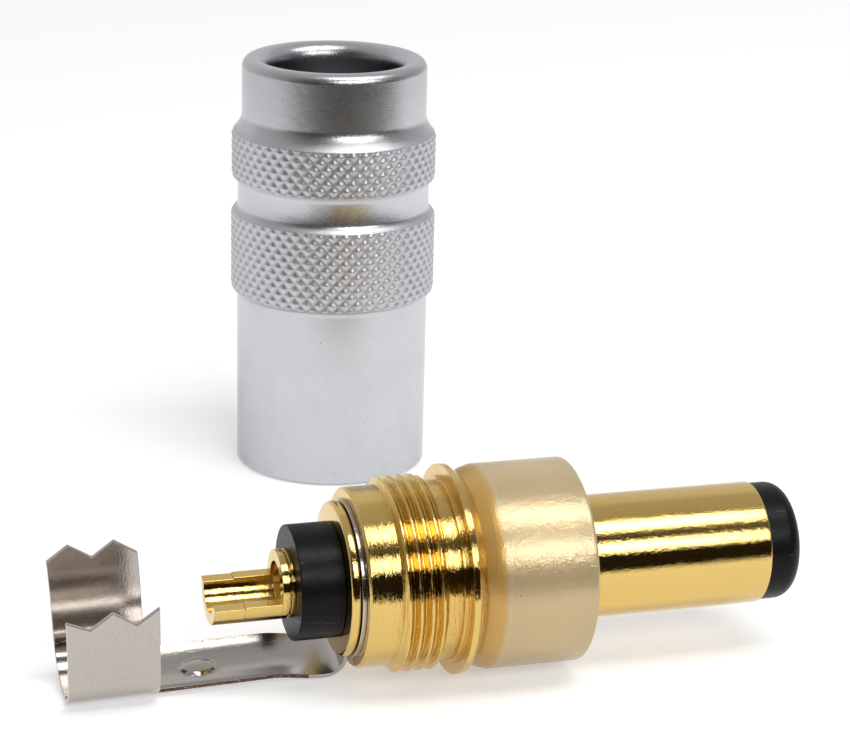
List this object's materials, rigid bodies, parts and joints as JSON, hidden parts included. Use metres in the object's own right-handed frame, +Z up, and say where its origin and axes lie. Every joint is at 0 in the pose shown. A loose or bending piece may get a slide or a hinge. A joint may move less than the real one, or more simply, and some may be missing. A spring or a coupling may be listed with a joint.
{
  "type": "dc barrel plug",
  "caption": "Low voltage power plug taken apart for soldering: barrel core with solder cup and crimp lug, and its knurled screw-on shell.",
  "frame": {"origin": "on the plug's axis, in the collar's front face, where the barrel starts", "axes": "+X along the plug's axis towards its tip, +Z up from the surface that the opened plug lies on"},
  "size_m": [0.0326, 0.0382, 0.0218],
  "materials": {
    "shell": "fine blasted satin",
    "threaded_body": "bright gold plate",
    "barrel_sleeve": "bright gold plate",
    "collar": "milky translucent moulding",
    "tip_insulator": "black moulding",
    "rear_insulator": "black moulding",
    "centre_contact": "bright gold plate",
    "ground_lug": "nickel plated sheet"
  },
  "bodies": {
    "root": {"shell": "shell", "threaded_body": "threaded_body", "barrel_sleeve": "barrel_sleeve", "collar": "collar", "tip_insulator": "tip_insulator", "rear_insulator": "rear_insulator", "centre_contact": "centre_contact", "ground_lug": "ground_lug"}
  },
  "joints": []
}
